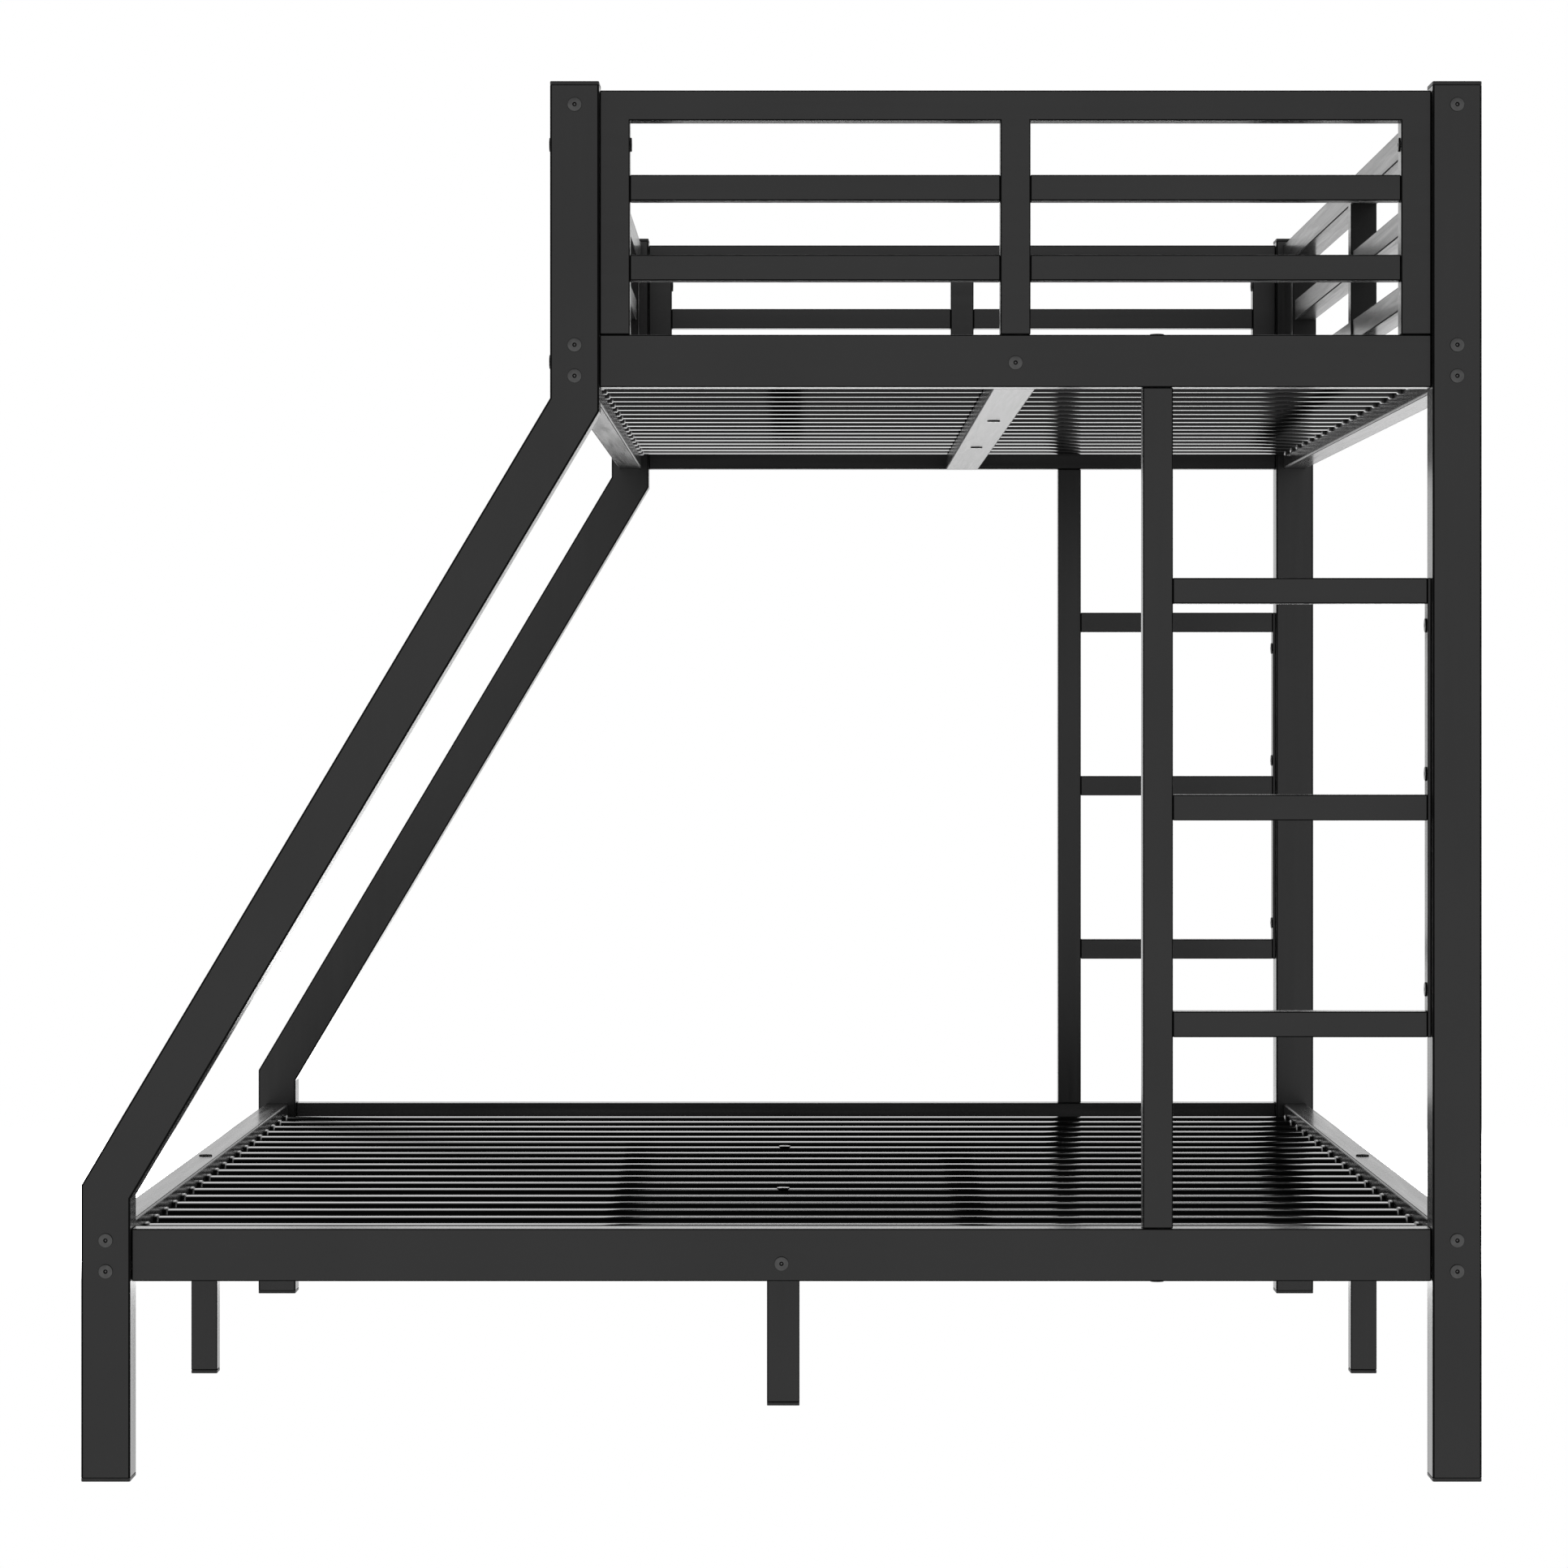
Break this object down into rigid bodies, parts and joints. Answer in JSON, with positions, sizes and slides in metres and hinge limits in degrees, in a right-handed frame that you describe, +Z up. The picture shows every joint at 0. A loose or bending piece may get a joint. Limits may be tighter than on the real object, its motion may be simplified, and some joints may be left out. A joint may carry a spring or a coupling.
{
  "type": "bunk bed",
  "caption": "Metal bunk bed with a narrow bunk over a wide one, leaning posts on one side, slatted decks, guardrails and end ladders.",
  "frame": {"origin": "the floor, under the middle of the bed's outer box", "axes": "+X towards the straight posts, +Y along the bed to the back end, +Z up"},
  "size_m": [1.6306, 2.1376, 1.625],
  "materials": {
    "tube_paint": "satin near-black powder coat",
    "cap_plastic": "matt black",
    "bolt_steel": "dark zinc"
  },
  "bodies": {
    "root": {"front_lean_post": "tube_paint", "front_lean_post_foot": "cap_plastic", "front_lean_post_cap": "cap_plastic", "front_straight_post": "tube_paint", "front_straight_post_foot": "cap_plastic", "front_straight_post_cap": "cap_plastic", "back_lean_post": "tube_paint", "back_lean_post_foot": "cap_plastic", "back_lean_post_cap": "cap_plastic", "back_straight_post": "tube_paint", "back_straight_post_foot": "cap_plastic", "back_straight_post_cap": "cap_plastic", "front_lower_end_rail": "tube_paint", "back_lower_end_rail": "tube_paint", "left_lower_side_rail": "tube_paint", "right_lower_side_rail": "tube_paint", "lower_slat_rack": "tube_paint", "front_upper_end_rail": "tube_paint", "back_upper_end_rail": "tube_paint", "left_upper_side_rail": "tube_paint", "right_upper_side_rail": "tube_paint", "upper_slat_rack": "tube_paint", "front_guardrail": "tube_paint", "back_guardrail": "tube_paint", "left_guardrail": "tube_paint", "right_guardrail": "tube_paint", "front_ladder": "tube_paint", "back_ladder": "tube_paint", "left_side_leg": "tube_paint", "left_side_leg_foot": "cap_plastic", "right_side_leg": "tube_paint", "right_side_leg_foot": "cap_plastic", "front_centre_leg": "tube_paint", "front_centre_leg_foot": "cap_plastic", "back_centre_leg": "tube_paint", "back_centre_leg_foot": "cap_plastic", "front_lean_lower_bolt_low": "bolt_steel", "front_lean_lower_bolt_high": "bolt_steel", "front_lean_lower_bolt_end": "bolt_steel", "front_lean_upper_bolt_low": "bolt_steel", "front_lean_upper_bolt_high": "bolt_steel", "front_lean_upper_bolt_end": "bolt_steel", "front_straight_lower_bolt_low": "bolt_steel", "front_straight_lower_bolt_high": "bolt_steel", "front_straight_lower_bolt_end": "bolt_steel", "front_straight_upper_bolt_low": "bolt_steel", "front_straight_upper_bolt_high": "bolt_steel", "front_straight_upper_bolt_end": "bolt_steel", "back_lean_lower_bolt_low": "bolt_steel", "back_lean_lower_bolt_high": "bolt_steel", "back_lean_lower_bolt_end": "bolt_steel", "back_lean_upper_bolt_low": "bolt_steel", "back_lean_upper_bolt_high": "bolt_steel", "back_lean_upper_bolt_end": "bolt_steel", "back_straight_lower_bolt_low": "bolt_steel", "back_straight_lower_bolt_high": "bolt_steel", "back_straight_lower_bolt_end": "bolt_steel", "back_straight_upper_bolt_low": "bolt_steel", "back_straight_upper_bolt_high": "bolt_steel", "back_straight_upper_bolt_end": "bolt_steel"}
  },
  "joints": []
}
